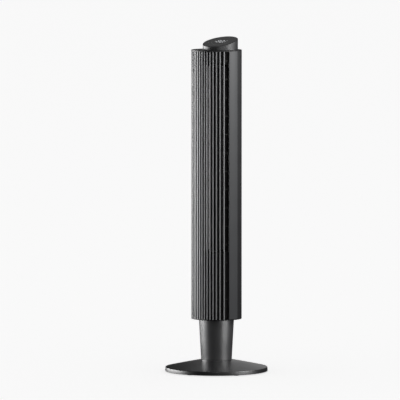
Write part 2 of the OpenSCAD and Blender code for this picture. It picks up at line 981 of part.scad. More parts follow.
module handle_pocket() {
    wall_angle = handle_wall / shell_in_r * 180 / PI;
    inner_r = tower_r - handle_depth;
    color("#121315")
    difference() {
        arc_wall(inner_r - handle_wall, shell_in_r,
                 180 - handle_half_angle - wall_angle, 180 + handle_half_angle + wall_angle,
                 handle_z0 - handle_wall, handle_z0 + handle_h + handle_wall);
        arc_wall(inner_r, shell_in_r + over, 180 - handle_half_angle, 180 + handle_half_angle,
                 handle_z0, handle_z0 + handle_h);
    }
}

screw_end = 1;
module rear_screws() {
    color("#8f9194")
    at_rear_screws() {
        translate([0, 0, deck_r + screw_end])
            cylinder(r = screw_r, h = rear_screw_z - deck_r - screw_end);
        translate([0, 0, rear_screw_z])
            cylinder(r = screw_head_r, h = screw_head_t);
    }
}

intake_frame_a = intake_border / tower_r * 180 / PI;
bar_count = round((360 - 2 * intake_angle - 2 * intake_frame_a) / bar_step) - 1;
intake_rib_count = impeller_sections * bays_per_section - 1;
frame_recess = 0.5;
bar_recess = 0.8;
bar_inset = 0.3;

module intake_grille() {
    inner_a = intake_angle + intake_frame_a;
    step = (360 - 2 * inner_a) / (bar_count + 1);
    half_bar = bar_w / 2 / tower_r * 180 / PI;
    color("#121315") {
        difference() {
            arc_wall(shell_in_r, tower_r - frame_recess, intake_angle, 360 - intake_angle,
                     intake_z0, intake_z1);
            arc_wall(shell_in_r - over, tower_r + over, inner_a, 360 - inner_a,
                     intake_z0 + intake_border, intake_z1 - intake_border);
        }
        for (i = [1:bar_count])
            arc_wall(shell_in_r + bar_inset, tower_r - bar_recess,
                     inner_a + i * step - half_bar, inner_a + i * step + half_bar,
                     intake_z0 + intake_border - over, intake_z1 - intake_border + over);
        for (k = [1:intake_rib_count])
            arc_wall(shell_in_r + 2 * bar_inset, tower_r - 2 * bar_recess, inner_a - 1, 361 - inner_a,
                     impeller_z0 + disc_t + k * bay_h - rib_t,
                     impeller_z0 + disc_t + k * bay_h);
    }
}

gland_in = 5;
gland_sink = 0.9;
gland_seat = gland_in + shell_wall - gland_sink;
gland_flange_d = gland_body_d + 4;
gland_flange_t = 2;
gland_nut_t = 3;
gland_nose = 7;
gland_nose_wall = 1.5;

module gland_axis() {
    translate([0, shell_in_r - gland_in, tower_z0 + gland_up])
        rotate([-90, 0, 0])
            children();
}

module cord_gland() {
    color("#18191a")
    gland_axis()
        difference() {
            union() {
                cylinder(d = gland_flange_d, h = gland_nut_t);
                cylinder(d = gland_body_d, h = gland_seat + gland_flange_t);
                translate([0, 0, gland_seat])
                    cylinder(d = gland_flange_d, h = gland_flange_t);
                translate([0, 0, gland_seat + gland_flange_t])
                    cylinder(d1 = gland_body_d, d2 = gland_bore_d + 2 * gland_nose_wall,
                             h = gland_nose);
            }
            translate([0, 0, -over])
                cylinder(d = gland_bore_d, h = gland_seat + gland_flange_t + gland_nose + 2 * over);
        }
}

module top_cap() {
    color("#17181a")
    difference() {
        union() {
            translate([0, 0, shell_z1])
                cylinder(r = tower_r, h = rim_h - rim_bevel);
            translate([0, 0, tower_z1 - rim_bevel])
                cylinder(r1 = tower_r, r2 = tower_r - rim_bevel, h = rim_bevel);
        }
        translate([0, head_y, shell_z1 - over])
            cylinder(r = head_bore_r, h = rim_h + 2 * over);
    }
}

// Control head

// The sloping plane of the panel, with its own X across and Y up the slope
module on_panel() {
    translate([0, head_y, tower_z1 + head_mid_h])
        rotate([head_tilt, 0, 0])
            children();
}

module panel_slab(r, top, bottom) {
    intersection() {
        translate([0, head_y, tower_z1 - head_d])
            cylinder(r = r, h = 2 * head_d);
        on_panel()
            translate([-head_d, -head_d, bottom])
                cube([2 * head_d, 2 * head_d, top - bottom]);
    }
}

module head_ring() {
    color("#3a3c3f")
    difference() {
        translate([0, head_y, tower_z1])
            cylinder(r = head_r, h = 2 * head_mid_h);
        on_panel()
            translate([-head_d, -head_d, 0])
                cube([2 * head_d, 2 * head_d, head_d]);
        panel_slab(lens_r, over, -lens_t);
        translate([0, head_y, tower_z1 - over])
            cylinder(r = head_bore_r, h = 2 * head_mid_h + 2 * over);
    }
}

module panel_lens() {
    color("#0a0a0b")
        panel_slab(lens_r, 0, -lens_t);
}

module display_board() {
    color("#2f6b45")
        panel_slab(head_bore_r, -board_drop, -board_drop - board_t);
}

module digit_display() {
    color("#f2f2ee")
    on_panel()
        translate([-display_size[0] / 2, 1 - display_size[1] / 2, -board_drop])
            cube([display_size[0], display_size[1], board_drop - lens_t - display_gap]);
}

module touch_springs() {
    color("#c9ccd0")
    on_panel()
        for (k = [0:key_count - 1])
            translate(concat(from_front(key_r, (k - (key_count - 1) / 2) * key_step),
                             [-board_drop]))
                difference() {
                    cylinder(r = touch_spring_r, h = board_drop - lens_t);
                    translate([0, 0, -over])
                        cylinder(r = touch_spring_r - touch_spring_wall, h = board_drop);
                }
}

// Nodes

base_cover();
base_plate();
ballast_plate();
rubber_feet();
base_screws();
column_socket();
column_tube();
friction_bush();
neck_sleeve();
mast_tube();
mast_guide_ring();
mast_head();
thrust_washer();
sun_gear();
gear_retainer();
osc_pinion();
osc_motor();
swivel_deck();
well_tube();
bottom_cap();
frame_posts();
motor_deck();
motor_grommets();
motor_covers();
motor_stator();
stator_windings();
motor_bearings();
run_capacitor();
power_board();
duct_floor();
scroll_wall();
vortex_tongue();
duct_roof();
top_bearing();
bearing_rubber();
liner(shell_z0, duct_z0);  // lower_liner
liner(duct_z1, shell_z1);  // upper_liner
side_panel(-1);  // left_side_panel
side_panel(1);  // right_side_panel
front_grille();
rear_shell();
handle_shell();
intake_grille();
handle_pocket();
rear_screws();
cord_gland();
top_cap();
head_ring();
panel_lens();
display_board();
digit_display();
touch_springs();
motor_shaft();
rotor();
drive_hub();
impeller_base_disc();
impeller_top_disc();
for (i = [1:impeller_sections])
    impeller_section(i);
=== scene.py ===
import json
import math

import bmesh
import bpy
from mathutils import Matrix, Vector


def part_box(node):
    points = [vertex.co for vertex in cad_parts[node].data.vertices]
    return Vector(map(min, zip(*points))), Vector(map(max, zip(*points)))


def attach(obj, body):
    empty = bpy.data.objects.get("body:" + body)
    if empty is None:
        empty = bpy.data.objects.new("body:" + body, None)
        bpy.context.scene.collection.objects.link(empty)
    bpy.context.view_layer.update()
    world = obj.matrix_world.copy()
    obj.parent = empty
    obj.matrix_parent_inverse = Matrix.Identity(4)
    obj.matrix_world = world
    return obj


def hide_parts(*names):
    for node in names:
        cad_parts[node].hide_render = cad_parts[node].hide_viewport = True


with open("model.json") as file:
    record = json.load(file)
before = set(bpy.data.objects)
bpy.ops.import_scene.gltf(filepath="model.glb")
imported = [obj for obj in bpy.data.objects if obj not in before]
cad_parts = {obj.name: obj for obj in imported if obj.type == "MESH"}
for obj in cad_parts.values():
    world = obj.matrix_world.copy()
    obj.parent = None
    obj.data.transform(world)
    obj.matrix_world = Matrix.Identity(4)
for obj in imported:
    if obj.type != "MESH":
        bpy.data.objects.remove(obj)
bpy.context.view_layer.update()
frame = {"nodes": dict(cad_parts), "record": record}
mm = 0.001

towerLow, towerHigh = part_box("rear_shell")[0].z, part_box("handle_shell")[1].z
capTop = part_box("top_cap")[1].z
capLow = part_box("bottom_cap")[0].z
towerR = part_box("top_cap")[1].x
headLow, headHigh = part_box("head_ring")
headR = (headHigh.x - headLow.x) / 2
headY = (headHigh.y + headLow.y) / 2
headSlope = math.radians(14.4)
headMid = headHigh.z - headR * math.tan(headSlope)  # height of the panel's middle
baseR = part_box("base_cover")[1].x
baseLow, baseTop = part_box("base_cover")[0].z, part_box("base_cover")[1].z
neckLow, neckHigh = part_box("neck_sleeve")[0].z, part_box("neck_sleeve")[1].z
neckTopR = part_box("neck_sleeve")[1].x


def fromFront(radius, angle):  # a point in the ground plane, angle in degrees from the front
    a = math.radians(angle)
    return Vector((radius * math.sin(a), -radius * math.cos(a), 0))


def newMaterial(name, colour, roughness, metallic=0.0, **sockets):
    material = bpy.data.materials.new(name)
    material.use_nodes = True
    shader = material.node_tree.nodes["Principled BSDF"]
    shader.inputs["Base Color"].default_value = (*colour, 1)
    shader.inputs["Roughness"].default_value = roughness
    shader.inputs["Metallic"].default_value = metallic
    for socket, value in sockets.items():
        shader.inputs[socket.replace("_", " ")].default_value = value
    return material


def addNode(material, kind, **settings):
    node = material.node_tree.nodes.new(kind)
    for key, value in settings.items():
        if key in node.inputs:
            node.inputs[key].default_value = value
        else:
            setattr(node, key, value)
    return node


def objectCoordinates(material):
    return addNode(material, "ShaderNodeTexCoord").outputs["Object"]


def addGrain(material, grainSize, depth, roughness, mottle=0.06, patchSize=0.05):
    # moulded texture: fine bumps, and soft patches that are slightly shinier
    link = material.node_tree.links.new
    shader = material.node_tree.nodes["Principled BSDF"]
    coordinates = objectCoordinates(material)
    grain = addNode(material, "ShaderNodeTexNoise", Scale=1 / grainSize, Detail=3.0, Roughness=0.6)
    bump = addNode(material, "ShaderNodeBump", Strength=0.6, Distance=depth)
    patches = addNode(material, "ShaderNodeTexNoise", Scale=1 / patchSize, Detail=4.0)
    spread = addNode(material, "ShaderNodeMapRange")
    spread.inputs["To Min"].default_value = roughness - mottle
    spread.inputs["To Max"].default_value = roughness + mottle
    link(coordinates, grain.inputs["Vector"])
    link(grain.outputs["Fac"], bump.inputs["Height"])
    link(bump.outputs["Normal"], shader.inputs["Normal"])
    link(coordinates, patches.inputs["Vector"])
    link(patches.outputs["Fac"], spread.inputs["Value"])
    link(spread.outputs["Result"], shader.inputs["Roughness"])
    return material


def mouldedPlastic(name, colour, roughness, grainSize=0.5 * mm, depth=0.02 * mm, **sockets):
    return addGrain(newMaterial(name, colour, roughness, **sockets), grainSize, depth, roughness)


shellPlastic = mouldedPlastic("shellPlastic", (0.040, 0.041, 0.043), 0.48, IOR=1.5)
slatPlastic = mouldedPlastic("slatPlastic", (0.060, 0.061, 0.064), 0.40, IOR=1.55)
# painted shade: the grille's recessed ribs and posts are coloured near-black, as shade behind the slats
recessShadePlastic = mouldedPlastic("recessShadePlastic", (0.005, 0.005, 0.005), 0.6)
headPlastic = mouldedPlastic("headPlastic", (0.022, 0.022, 0.023), 0.40,
                             IOR=1.5, Specular_IOR_Level=0.45)
neckPlastic = mouldedPlastic("neckPlastic", (0.022, 0.022, 0.023), 0.30,
                             IOR=1.6, Specular_IOR_Level=0.8)
basePlastic = mouldedPlastic("basePlastic", (0.008, 0.008, 0.009), 0.38,
                             IOR=1.55, Specular_IOR_Level=0.95)
rearPlastic = mouldedPlastic("rearPlastic", (0.014, 0.014, 0.015), 0.50)
rimPlastic = mouldedPlastic("rimPlastic", (0.010, 0.010, 0.011), 0.5, Specular_IOR_Level=0.3)
hiddenPlastic = mouldedPlastic("hiddenPlastic", (0.006, 0.006, 0.006), 0.6)
impellerPlastic = mouldedPlastic("impellerPlastic", (0.008, 0.008, 0.009), 0.5)
linerPlastic = mouldedPlastic("linerPlastic", (0.002, 0.002, 0.002), 0.8)
acetal = mouldedPlastic("acetal", (0.62, 0.60, 0.54), 0.42)
whitePlastic = mouldedPlastic("whitePlastic", (0.70, 0.70, 0.67), 0.45)
rubber = mouldedPlastic("rubber", (0.012, 0.012, 0.012), 0.75, 0.8 * mm, 0.05 * mm)
boardGreen = mouldedPlastic("boardGreen", (0.02, 0.11, 0.05), 0.35)
lensGloss = newMaterial("lensGloss", (0.003, 0.003, 0.0035), 0.06,
                        Coat_Weight=0.6, Coat_Roughness=0.03)
digitLight = newMaterial("digitLight", (0.85, 0.86, 0.88), 0.4,
                         Emission_Color=(0.9, 0.95, 1, 1), Emission_Strength=0.12)
keyPrint = newMaterial("keyPrint", (0.05, 0.05, 0.052), 0.35)


def paintShadeAndSheenByDepth(material, deep, front, start, end):
    # painted shade and painted highlight: the colour follows the distance from the tower's middle,
    # near-black on the slats' sides and pale on their outer faces
    link = material.node_tree.links.new
    flat = addNode(material, "ShaderNodeVectorMath", operation="MULTIPLY")
    flat.inputs[1].default_value = (1, 1, 0)
    reach = addNode(material, "ShaderNodeVectorMath", operation="LENGTH")
    spread = addNode(material, "ShaderNodeMapRange", interpolation_type="SMOOTHSTEP")
    spread.inputs["From Min"].default_value = start
    spread.inputs["From Max"].default_value = end
    blend = addNode(material, "ShaderNodeMix", data_type="RGBA")
    blend.inputs["A"].default_value = (*deep, 1)
    blend.inputs["B"].default_value = (*front, 1)
    link(objectCoordinates(material), flat.inputs[0])
    link(flat.outputs[0], reach.inputs[0])
    link(reach.outputs["Value"], spread.inputs["Value"])
    link(spread.outputs["Result"], blend.inputs["Factor"])
    link(blend.outputs["Result"], material.node_tree.nodes["Principled BSDF"].inputs["Base Color"])


# painted highlight and painted shade: the slats' outer faces are painted paler than their sides, and the
# sides are painted near-black as shade between the slats
paintShadeAndSheenByDepth(slatPlastic, (0.008, 0.008, 0.009), (0.23, 0.232, 0.238), towerR - 1.4 * mm, towerR - 0.3 * mm)


def metalFinish(name, colour, roughness):
    material = newMaterial(name, colour, roughness, metallic=1.0)
    return addGrain(material, 0.9 * mm, 0.01 * mm, roughness, 0.08, 0.02)


zincSteel = metalFinish("zincSteel", (0.42, 0.43, 0.45), 0.38)
blackSteel = metalFinish("blackSteel", (0.07, 0.07, 0.075), 0.42)
brightSteel = metalFinish("brightSteel", (0.6, 0.61, 0.63), 0.25)
motorCan = metalFinish("motorCan", (0.5, 0.51, 0.53), 0.35)
laminations = metalFinish("laminations", (0.24, 0.25, 0.26), 0.45)
copper = metalFinish("copper", (0.55, 0.22, 0.08), 0.35)
bronze = metalFinish("bronze", (0.5, 0.34, 0.15), 0.45)

slotMaterials = {
    "base_plastic": basePlastic, "neck_plastic": neckPlastic, "shell_plastic": shellPlastic,
    "rear_plastic": rearPlastic, "rim_plastic": rimPlastic, "head_plastic": headPlastic,
    "lens_gloss": lensGloss, "hidden_plastic": hiddenPlastic, "liner_black": linerPlastic,
    "impeller_plastic": impellerPlastic, "light_plastic": whitePlastic, "acetal": acetal,
    "board_green": boardGreen, "rubber": rubber, "steel": zincSteel, "bright_steel": brightSteel,
    "screw_steel": blackSteel, "motor_can": motorCan, "lamination_steel": laminations,
    "copper": copper, "bronze": bronze,
}
for part in frame["record"]["subparts"]:
    node = frame["nodes"][part["node"]]
    node.data.materials.clear()
    node.data.materials.append(slotMaterials[part["material_slot"]])
print("materials are on")


def turned(bm, outline, centre=(0, 0), first=0, sweep=360, steps=128):
    # spins a closed outline of (radius, height) about an upright line
    a = fromFront(1, first)
    ring = [bm.verts.new((centre[0] + r * a.x, centre[1] + r * a.y, z)) for r, z in outline]
    made = ring + [bm.edges.new((ring[k - 1], ring[k])) for k in range(len(ring))]
    if sweep < 360:
        made.append(bm.faces.new(ring))
    bmesh.ops.spin(bm, geom=made, cent=(*centre, 0), axis=(0, 0, 1), angle=math.radians(sweep),
                   steps=steps, use_merge=sweep == 360)


def soften(bm, width):  # rounds every sharp edge
    bmesh.ops.remove_doubles(bm, verts=bm.verts, dist=0.002 * mm)
    bmesh.ops.recalc_face_normals(bm, faces=bm.faces)
    corners = [e for e in bm.edges
               if len(e.link_faces) == 2 and e.calc_face_angle() > math.radians(30)]
    bmesh.ops.bevel(bm, geom=corners, offset=width, segments=3, affect="EDGES",
                    profile=0.5, material=-1, clamp_overlap=True)


def finishPiece(name, bm, body, material, slot, *nodes, sharp=32):  # sharp: degrees past which an edge shows
    bmesh.ops.remove_doubles(bm, verts=bm.verts, dist=0.002 * mm)
    bmesh.ops.recalc_face_normals(bm, faces=bm.faces)
    for face in bm.faces:
        face.smooth = True
    for edge in bm.edges:
        edge.smooth = len(edge.link_faces) == 2 and edge.calc_face_angle() < math.radians(sharp)
    piece = bpy.data.objects.new(name, bpy.data.meshes.new(name))
    bm.to_mesh(piece.data)
    bm.free()
    piece.data.materials.append(material)
    bpy.context.scene.collection.objects.link(piece)
    evenShade = piece.modifiers.new("evenShade", "WEIGHTED_NORMAL")
    evenShade.keep_sharp = True
    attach(piece, body)
    if nodes:
        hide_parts(*nodes)


def arcOutline(radius, centre, first, last, steps):  # a round corner of an outline
    angles = [math.radians(first + (last - first) * k / steps) for k in range(steps + 1)]
    return [(centre[0] + radius * math.cos(a), centre[1] + radius * math.sin(a)) for a in angles]


baseShape = {"wall": 3 * mm, "rim": 13 * mm, "corner": 2 * mm, "draft": 0.6 * mm, "bulge": 0.3 * mm,
             "footEdge": 0.8 * mm, "slopeEnd": 50.5 * mm, "hole": 32 * mm, "slopeSteps": 24}
rimTop = baseLow + baseShape["rim"]
slopeStart = baseR - baseShape["draft"] - baseShape["corner"]


def slopePoint(share, drop=0):  # on the cover's slope, from the rim (share 0) to the neck (share 1)
    lift = (baseTop - rimTop) * share + baseShape["bulge"] * math.sin(math.pi * share)
    return slopeStart + (baseShape["slopeEnd"] - slopeStart) * share, rimTop + lift - drop


shares = [k / baseShape["slopeSteps"] for k in range(baseShape["slopeSteps"] + 1)]
coverWall, footEdge = baseShape["wall"], baseShape["footEdge"]
bm = bmesh.new()
turned(bm, [(baseR - coverWall, baseLow), (baseR - footEdge, baseLow), (baseR, baseLow + footEdge)]
       + arcOutline(baseShape["corner"], (slopeStart, rimTop - baseShape["corner"]), 0, 84, 8)
       + [slopePoint(k) for k in shares[1:]]
       + [(baseShape["hole"], baseTop), (baseShape["hole"], baseTop - coverWall)]
       + [slopePoint(k, coverWall) for k in reversed(shares[2:])]
       + [(baseR - coverWall, rimTop - baseShape["corner"])], steps=192)
finishPiece("baseCover", bm, "stand", basePlastic, "base_plastic", "base_cover", sharp=50)

neckShape = {"wall": 2.5 * mm, "lid": 3 * mm, "mouth": 30.2 * mm, "edge": 1 * mm, "joinGap": 1.5 * mm}
neckLowR = baseShape["slopeEnd"] - neckShape["joinGap"]
neckInner = neckTopR - neckShape["wall"]
lidLow = neckHigh - neckShape["lid"]
bm = bmesh.new()
turned(bm, [(neckLowR - neckShape["wall"], neckLow), (neckLowR - 0.5 * mm, neckLow),
            (neckLowR, neckLow + 0.6 * mm), (neckTopR, capLow), (neckTopR, neckHigh - neckShape["edge"]),
            (neckTopR - neckShape["edge"], neckHigh), (neckShape["mouth"], neckHigh),
            (neckShape["mouth"], lidLow), (neckInner, lidLow), (neckInner, capLow)])
finishPiece("neckSleeve", bm, "stand", neckPlastic, "neck_plastic", "neck_sleeve", sharp=50)
print("base and neck are made")

capShape = {"corner": 1 * mm, "holeInset": 5.2 * mm, "wellGap": 1.2 * mm, "lowEdge": 0.3 * mm}
capCorner = capShape["corner"]
holeR = headR - capShape["holeInset"]
bm = bmesh.new()
turned(bm, [(holeR, towerHigh), (towerR, towerHigh), (towerR, capTop - capCorner)]
       + arcOutline(capCorner, (towerR - capCorner, capTop - capCorner), 18, 90, 4) + [(holeR, capTop)])
for v in bm.verts:
    if math.hypot(v.co.x, v.co.y) < holeR + mm:
        v.co.y += headY
finishPiece("topCap", bm, "tower", rimPlastic, "rim_plastic", "top_cap")

wellR = neckTopR + capShape["wellGap"]
bm = bmesh.new()
turned(bm, [(wellR, capLow + capCorner), (wellR + capCorner, capLow), (towerR - capCorner, capLow),
            (towerR - capShape["lowEdge"], capLow + capShape["lowEdge"]), (towerR, capLow + capCorner),
            (towerR, towerLow), (wellR, towerLow)])
finishPiece("bottomCap", bm, "tower", rimPlastic, "rim_plastic", "bottom_cap")

grille = {"slats": 15, "share": 0.907, "faceWidth": 4.2 * mm, "tipWidth": 2.4 * mm, "depth": 9 * mm,
          "roundFace": 1.5 * mm, "post": 3, "postFrom": 1, "postSweep": 4,  # degrees past the panel's edge
          "ribPitch": 58.4 * mm, "ribThick": 2 * mm, "firstRib": 37 * mm, "topMargin": 5 * mm,
          "ribRecess": 4 * mm, "ribDepth": 3 * mm}
edgeAngle = math.degrees(math.asin(grille["share"]))
sidePanel = {"wall": 3 * mm, "edge": 0.5 * mm, "rearAngle": 92, "seam": 0.36}  # seam: degrees left open
for side, name in ((-1, "leftSidePanel"), (1, "rightSidePanel")):
    bm = bmesh.new()
    first, last = sorted((side * edgeAngle, side * (sidePanel["rearAngle"] - sidePanel["seam"])))
    inner = towerR - sidePanel["wall"]
    turned(bm, [(inner, towerLow), (towerR, towerLow), (towerR, towerHigh), (inner, towerHigh)],
           first=first, sweep=last - first, steps=20)
    soften(bm, sidePanel["edge"])
    finishPiece(name, bm, "tower", shellPlastic, "shell_plastic",
                "left_side_panel" if side < 0 else "right_side_panel")

slatPitch = 2 * grille["share"] * towerR / (grille["slats"] + 1)
sideSlats = (grille["slats"] - 1) // 2
postAngle = edgeAngle + grille["post"]


def slatAngle(k):  # counted from the middle slat; past the last one comes the post
    if abs(k) > sideSlats:
        return math.copysign(postAngle, k)
    return math.degrees(math.asin(k * slatPitch / towerR))


def extrudedUp(bm, corners, low, tall):  # a prism that stands on the corners (x, y); gives its vertices
    section = [bm.verts.new((x, y, low)) for x, y in corners]
    top = bmesh.ops.extrude_face_region(bm, geom=[bm.faces.new(section)])["geom"]
    raised = [v for v in top if isinstance(v, bmesh.types.BMVert)]
    bmesh.ops.translate(bm, verts=raised, vec=(0, 0, tall))
    return section + raised


bm = bmesh.new()
w, t, slatRear = grille["faceWidth"] / 2, grille["tipWidth"] / 2, grille["depth"] - towerR
for k in range(-sideSlats, sideSlats + 1):
    slat = extrudedUp(bm, [(-w, -towerR), (w, -towerR), (t, slatRear), (-t, slatRear)],
                      towerLow, towerHigh - towerLow)
    bmesh.ops.rotate(bm, verts=slat, matrix=Matrix.Rotation(math.radians(slatAngle(k)), 3, "Z"))
bmesh.ops.recalc_face_normals(bm, faces=bm.faces)
upright = [e for e in bm.edges if abs(e.verts[0].co.z - e.verts[1].co.z) > 10 * mm]
front = [e for e in upright if math.hypot(*e.verts[0].co.xy) > towerR - mm]
bmesh.ops.bevel(bm, geom=front, offset=grille["roundFace"], segments=5, affect="EDGES",
                profile=0.5, material=-1)
finishPiece("frontSlats", bm, "tower", slatPlastic, "shell_plastic", "front_grille")

bm = bmesh.new()
rowStep = grille["ribPitch"] / 2  # the ribs of one gap stand half a pitch above those of the next
rowCount = int((towerHigh - capLow - grille["firstRib"] - grille["topMargin"]) / rowStep) + 1
ribFront = towerR - grille["ribRecess"]
ribRear = ribFront - grille["ribDepth"]
for row in range(rowCount):
    z = capLow + grille["firstRib"] + row * rowStep
    for gap in range(row % 2, grille["slats"] + 1, 2):
        k = gap - (grille["slats"] + 1) / 2
        corners = [fromFront(r, slatAngle(n)).xy
                   for r, n in ((ribFront, k), (ribFront, k + 1), (ribRear, k + 1), (ribRear, k))]
        extrudedUp(bm, corners, z - grille["ribThick"] / 2, grille["ribThick"])
postNear, postFar = edgeAngle + grille["postFrom"], edgeAngle + grille["postFrom"] + grille["postSweep"]
for side in (-1, 1):
    inner, outer = towerR - grille["depth"], towerR - sidePanel["wall"]
    turned(bm, [(inner, towerLow), (outer, towerLow), (outer, towerHigh), (inner, towerHigh)],
           first=min(side * postNear, side * postFar), sweep=grille["postSweep"], steps=4)
# the ribs and posts carry painted shade: near-black colour for the recess behind the slats
finishPiece("grilleRibs", bm, "tower", recessShadePlastic, "shell_plastic", "front_grille")
print("tower is made")


def smoothCopy(name, node):  # a rear piece's CAD shape, merged so that its curves shade evenly
    bm = bmesh.new()
    bm.from_mesh(frame["nodes"][node].data)
    bmesh.ops.remove_doubles(bm, verts=bm.verts, dist=0.004 * mm)
    bmesh.ops.dissolve_limit(bm, angle_limit=math.radians(1), verts=bm.verts, edges=bm.edges)
    finishPiece(name, bm, "tower", rearPlastic, "rear_plastic", node, sharp=35)


screwShape = {"radius": 3.2 * mm, "tall": 1.8 * mm, "round": 0.5 * mm, "shank": 1.6 * mm,
              "crossWide": 0.9 * mm, "crossLong": 3.4 * mm, "crossDeep": 1.1 * mm}


def nextRing(bm, edges, spread, lift):  # extrudes an outline, scaled across and moved along
    made = bmesh.ops.extrude_edge_only(bm, edges=edges)["geom"]
    moved = {v for v in made if isinstance(v, bmesh.types.BMVert)}
    bmesh.ops.scale(bm, vec=(spread, spread, 1), verts=list(moved))
    bmesh.ops.translate(bm, vec=(0, 0, lift), verts=list(moved))
    return [e for e in made if isinstance(e, bmesh.types.BMEdge) and moved.issuperset(e.verts)]


def addScrew(bm, place, shankLong):  # a pan head with a cross recess, made facing up and then placed
    one = bmesh.new()
    half, arm, tall = screwShape["crossWide"] / 2, screwShape["crossLong"] / 2, screwShape["tall"]
    cross = [one.verts.new(Matrix.Rotation(math.radians(90 * quarter), 3, "Z") @ Vector((x, y, tall)))
             for quarter in range(4) for x, y in ((arm, -half), (arm, half), (half, half))]
    recess = [one.edges.new((cross[k - 1], cross[k])) for k in range(12)]
    topR = screwShape["radius"] - screwShape["round"]
    top = bmesh.ops.create_circle(one, segments=24, radius=topR,
                                  matrix=Matrix.Translation((0, 0, tall)))["verts"]
    ring = list({e for v in top for e in v.link_edges})
    bmesh.ops.bridge_loops(one, edges=recess + ring)
    nextRing(one, recess, 0.7, -screwShape["crossDeep"])
    ring = nextRing(one, ring, screwShape["radius"] / topR, -screwShape["round"])
    ring = nextRing(one, ring, 1, screwShape["round"] - tall)
    ring = nextRing(one, ring, screwShape["shank"] / screwShape["radius"], 0)
    nextRing(one, ring, 1, -shankLong)
    bmesh.ops.holes_fill(one, edges=[e for e in one.edges if e.is_boundary], sides=0)
    bmesh.ops.transform(one, matrix=place, verts=one.verts)
    part = bpy.data.meshes.new("screw")
    one.to_mesh(part)
    one.free()
    bm.from_mesh(part)
    bpy.data.meshes.remove(part)


rearScrews = {"angle": 106, "headSeat": 78.3 * mm, "levels": (190 * mm, 598 * mm, 1006 * mm),
              "shank": 5.9 * mm}
outwards = Matrix.Rotation(math.radians(90), 4, "X") @ Matrix.Translation((0, 0, rearScrews["headSeat"]))
bm = bmesh.new()
for side in (-1, 1):
    for level in rearScrews["levels"]:
        around = Matrix.Rotation(math.radians(side * rearScrews["angle"]), 4, "Z")
        addScrew(bm, Matrix.Translation((0, 0, level)) @ around @ outwards, rearScrews["shank"])
finishPiece("rearScrews", bm, "tower", blackSteel, "screw_steel", "rear_screws")

feet = {"count": 6, "ringInset": 18 * mm, "radius": 9 * mm, "edge": 0.5 * mm, "groove": 0.5 * mm,
        "grooveInsets": (2 * mm, 4.4 * mm, 6.8 * mm), "middle": 0.3 * mm, "screwInset": 16 * mm}
footR, groove, middle = feet["radius"], feet["groove"], feet["middle"]
outline = [(middle, baseLow), (footR, baseLow), (footR, feet["edge"]), (footR - feet["edge"], 0)]
for inset in feet["grooveInsets"]:
    r = footR - inset
    outline += [(r + 0.3 * mm, 0), (r + 0.1 * mm, groove), (r - 0.7 * mm, groove), (r - 0.9 * mm, 0)]
outline.append((middle, 0))
bm = bmesh.new()
for k in range(feet["count"]):
    spot = fromFront(baseR - feet["ringInset"], 360 * k / feet["count"])
    turned(bm, outline, centre=spot.xy, steps=40)
bmesh.ops.holes_fill(bm, edges=[e for e in bm.edges if e.is_boundary], sides=0)
finishPiece("rubberFeet", bm, "stand", rubber, "rubber", "rubber_feet")

bm = bmesh.new()
screwLow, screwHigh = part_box("base_screws")[0].z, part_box("base_screws")[1].z
for k in range(feet["count"]):  # heads down, between the feet
    spot = fromFront(baseR - feet["screwInset"], 360 * (k + 0.5) / feet["count"])
    seat = Matrix.Translation((spot.x, spot.y, screwLow + screwShape["tall"]))
    addScrew(bm, seat @ Matrix.Rotation(math.pi, 4, "X"), screwHigh - screwLow - screwShape["tall"])
finishPiece("baseScrews", bm, "stand", blackSteel, "screw_steel", "base_screws")

gland = {"bore": 3.5 * mm, "flange": 8.5 * mm, "body": 6.5 * mm, "nut": 3 * mm, "seat": 7.1 * mm,
         "flangeThick": 2 * mm, "edge": 0.5 * mm, "rings": 3, "groove": 1 * mm, "noseR": 5 * mm}
glandLow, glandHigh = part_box("cord_gland")
flangeR, bodyR = gland["flange"], gland["body"]
noseStart = gland["seat"] + gland["flangeThick"]
noseLong = glandHigh.y - glandLow.y - noseStart
outline = [(gland["bore"], 0), (flangeR, 0), (flangeR, gland["nut"]), (bodyR, gland["nut"]),
           (bodyR, gland["seat"]), (flangeR, gland["seat"]),
           (flangeR, noseStart - gland["edge"]), (flangeR - gland["edge"], noseStart)]
step = noseLong / gland["rings"]
for k in range(gland["rings"]):  # strain relief: rings that get smaller
    r = bodyR + (gland["noseR"] - bodyR) * k / gland["rings"]
    z = noseStart + step * k
    outline += [(r, z + 0.02 * mm), (r - 0.2 * mm, z + step * 0.6),
                (r - gland["groove"], z + step * 0.65), (r - gland["groove"], z + step * 0.95)]
outline += [(gland["noseR"] - 0.6 * mm, noseStart + noseLong), (gland["bore"], noseStart + noseLong)]
bm = bmesh.new()
turned(bm, outline, steps=48)
place = Matrix.Translation((0, glandLow.y, (glandLow.z + glandHigh.z) / 2))
bmesh.ops.transform(bm, verts=bm.verts, matrix=place @ Matrix.Rotation(math.radians(-90), 4, "X"))
finishPiece("cordGland", bm, "tower", rubber, "rubber", "cord_gland")
print("screws, feet and gland are made")

for name, node in (("rearShell", "rear_shell"), ("handleShell", "handle_shell"),
                   ("intakeGrille", "intake_grille"), ("handlePocket", "handle_pocket")):
    smoothCopy(name, node)

headShape = {"rim": 2.2 * mm, "ledge": 3 * mm, "lens": 2 * mm, "lensEdge": 0.4 * mm,
             "roundOver": 0.9 * mm, "gap": 0.12 * mm}
lensR = headR - headShape["rim"]


def tipOntoPanel(bm, verts):  # lifts what is flat at height 0 onto the sloping panel
    tip = Matrix.Identity(4)
    tip[2][1] = math.tan(headSlope)
    tip[2][3] = headMid - headY * math.tan(headSlope)
    bmesh.ops.transform(bm, matrix=tip, verts=verts)


